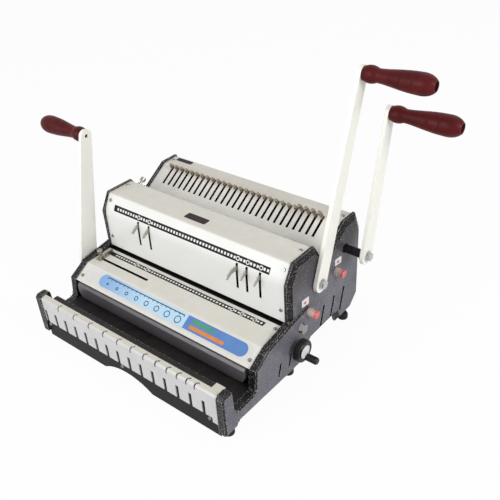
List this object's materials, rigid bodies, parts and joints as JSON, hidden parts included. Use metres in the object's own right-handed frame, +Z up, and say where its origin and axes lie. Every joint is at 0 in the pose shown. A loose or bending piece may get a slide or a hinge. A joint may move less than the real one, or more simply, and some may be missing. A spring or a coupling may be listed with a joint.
{
  "type": "coil and wire binding machine",
  "caption": "Desk punch and binding machine: front punch for coil, rear punch for wire, pull-out die selectors, side levers and a wire closer in front.",
  "frame": {"origin": "on the table top, under the middle of the whole machine's box, levers and grips included", "axes": "+X to the user's right, +Y to the back, +Z up"},
  "size_m": [0.672, 0.3826, 0.4515],
  "materials": {
    "side_plate_paint": "dark grey hammertone",
    "cover_paint": "satin off-white powder coat",
    "black_paint": "satin black",
    "gauge_paint": "white powder coat",
    "tool_steel": "ground",
    "dark_steel": "blackened",
    "lever_paint": "cream enamel",
    "grip_plastic": "moulded reddish brown",
    "bolt_steel": "zinc plated",
    "foot_rubber": "matt black",
    "tab_metal": "dull passivated",
    "guide_brass": "satin",
    "bush_bronze": "plain",
    "black_plastic": "moulded",
    "knob_plastic": "grey with red ends",
    "tray_steel": "grey"
  },
  "bodies": {
    "frame": {"left_side_plate": "side_plate_paint", "right_side_plate": "side_plate_paint", "left_closer_plate": "side_plate_paint", "right_closer_plate": "side_plate_paint", "base_plate": "black_paint", "lower_cover": "cover_paint", "upper_cover": "cover_paint", "rear_cover": "cover_paint", "front_panel": "black_paint", "gauge_plate": "gauge_paint", "anvil_bar": "black_paint", "trough_floor": "black_paint", "front_die_plate": "dark_steel", "front_pin_guide": "dark_steel", "rear_die_plate": "dark_steel", "rear_pin_guide": "dark_steel", "feet": "foot_rubber", "cover_screws": "bolt_steel", "side_bolts": "dark_steel", "shaft_bushes": "bush_bronze"},
    "front_lever_set": {"front_lever": "lever_paint", "front_lever_bolt": "bolt_steel", "front_grip": "grip_plastic", "front_punch_shaft": "tool_steel"},
    "front_punch": {"front_pressure_bar": "tool_steel", "front_racks": "tool_steel", "front_punch_pins": "tool_steel"},
    "rear_lever_set": {"rear_lever": "lever_paint", "rear_lever_bolt": "bolt_steel", "rear_grip": "grip_plastic", "rear_punch_shaft": "dark_steel"},
    "rear_punch": {"rear_pressure_bar": "tool_steel", "rear_racks": "tool_steel", "rear_punch_pins": "tool_steel"},
    "rear_tabs": {"rear_selectors": "tab_metal"},
    "rear_tabs_pulled": {"rear_selectors_pulled": "tab_metal"},
    "closer_lever_set": {"closer_lever": "lever_paint", "closer_lever_bolt": "bolt_steel", "closer_grip": "grip_plastic", "closer_shaft": "tool_steel"},
    "closer_slide": {"closing_jaw": "dark_steel", "closer_racks": "tool_steel"},
    "crank": {"size_crank": "black_plastic", "crank_shaft": "tool_steel"},
    "peg": {"crank_peg": "black_plastic"},
    "front_margin": {"front_margin_rod": "tool_steel", "front_margin_knob": "knob_plastic"},
    "rear_margin": {"rear_margin_rod": "tool_steel", "rear_margin_knob": "knob_plastic"},
    "front_guide": {"front_edge_guide": "guide_brass"},
    "front_thumbscrew": {"front_guide_screw": "guide_brass"},
    "rear_guide": {"rear_edge_guide": "guide_brass"},
    "rear_thumbscrew": {"rear_guide_screw": "guide_brass"},
    "tray": {"chip_tray": "tray_steel"},
    "front_tab_1": {"front_selector_1": "tab_metal"},
    "front_tab_2": {"front_selector_2": "tab_metal"},
    "front_tab_3": {"front_selector_3": "tab_metal"},
    "front_tab_4": {"front_selector_4": "tab_metal"},
    "front_tab_5": {"front_selector_5": "tab_metal"}
  },
  "joints": [
    {"name": "front_lever_pull", "type": "hinge", "parent": "frame", "child": "front_lever_set", "pos_m": [-0.014, 0.04668, 0.137], "axis": [1, 0, 0], "range_deg": [0, 95]},
    {"name": "front_punch_stroke", "type": "slide", "parent": "frame", "child": "front_punch", "axis": [0, 0, -1], "range_m": [0, 0.02489]},
    {"name": "rear_lever_pull", "type": "hinge", "parent": "frame", "child": "rear_lever_set", "pos_m": [-0.014, 0.12768, 0.154], "axis": [1, 0, 0], "range_deg": [0, 95]},
    {"name": "rear_punch_stroke", "type": "slide", "parent": "frame", "child": "rear_punch", "axis": [0, -0.8508, -0.5255], "range_m": [0, 0.02489]},
    {"name": "closer_lever_pull", "type": "hinge", "parent": "frame", "child": "closer_lever_set", "pos_m": [-0.014, -0.07584, 0.05], "axis": [1, 0, 0], "range_deg": [0, 100]},
    {"name": "jaw_stroke", "type": "slide", "parent": "frame", "child": "closer_slide", "axis": [0, -1, 0], "range_m": [0, 0.0262]},
    {"name": "crank_turn", "type": "hinge", "parent": "frame", "child": "crank", "pos_m": [-0.014, -0.02132, 0.056], "axis": [1, 0, 0], "continuous": true},
    {"name": "peg_spin", "type": "hinge", "parent": "crank", "child": "peg", "pos_m": [0.216, -0.01809, 0.04393], "axis": [1, 0, 0], "continuous": true},
    {"name": "front_margin_turn", "type": "hinge", "parent": "frame", "child": "front_margin", "pos_m": [-0.014, 0.01618, 0.101], "axis": [1, 0, 0], "range_deg": [-90, 90]},
    {"name": "rear_margin_turn", "type": "hinge", "parent": "frame", "child": "rear_margin", "pos_m": [-0.014, 0.09932, 0.12574], "axis": [1, 0, 0], "range_deg": [-90, 90]},
    {"name": "front_guide_slide", "type": "slide", "parent": "frame", "child": "front_guide", "axis": [1, 0, 0], "range_m": [0, 0.105]},
    {"name": "front_thumbscrew_turn", "type": "hinge", "parent": "front_guide", "child": "front_thumbscrew", "pos_m": [-0.1955, -0.06202, 0.09512], "axis": [0, -0.0288, 0.9996], "continuous": true},
    {"name": "rear_guide_slide", "type": "slide", "parent": "frame", "child": "rear_guide", "axis": [1, 0, 0], "range_m": [0, 0.105]},
    {"name": "rear_thumbscrew_turn", "type": "hinge", "parent": "rear_guide", "child": "rear_thumbscrew", "pos_m": [-0.2015, 0.05311, 0.18535], "axis": [0, 0.8508, 0.5255], "continuous": true},
    {"name": "tray_slide", "type": "slide", "parent": "frame", "child": "tray", "axis": [0, 1, 0], "range_m": [0, 0.15]},
    {"name": "rear_tabs_pull", "type": "slide", "parent": "rear_punch", "child": "rear_tabs", "axis": [0, -0.5255, 0.8508], "range_m": [0, 0.01]},
    {"name": "rear_tabs_push", "type": "slide", "parent": "rear_punch", "child": "rear_tabs_pulled", "axis": [0, -0.5255, 0.8508], "range_m": [-0.01, 0]},
    {"name": "front_tab_1_pull", "type": "slide", "parent": "front_punch", "child": "front_tab_1", "axis": [0, -1, 0], "range_m": [0, 0.01]},
    {"name": "front_tab_2_pull", "type": "slide", "parent": "front_punch", "child": "front_tab_2", "axis": [0, -1, 0], "range_m": [0, 0.01]},
    {"name": "front_tab_3_pull", "type": "slide", "parent": "front_punch", "child": "front_tab_3", "axis": [0, -1, 0], "range_m": [-0.01, 0]},
    {"name": "front_tab_4_pull", "type": "slide", "parent": "front_punch", "child": "front_tab_4", "axis": [0, -1, 0], "range_m": [0, 0.01]},
    {"name": "front_tab_5_pull", "type": "slide", "parent": "front_punch", "child": "front_tab_5", "axis": [0, -1, 0], "range_m": [0, 0.01]}
  ],
  "couplings": [
    {"joint": "front_punch_stroke", "follows": "front_lever_pull", "m_per_rad": 0.015},
    {"joint": "rear_punch_stroke", "follows": "rear_lever_pull", "m_per_rad": 0.015},
    {"joint": "jaw_stroke", "follows": "closer_lever_pull", "m_per_rad": 0.015}
  ]
}
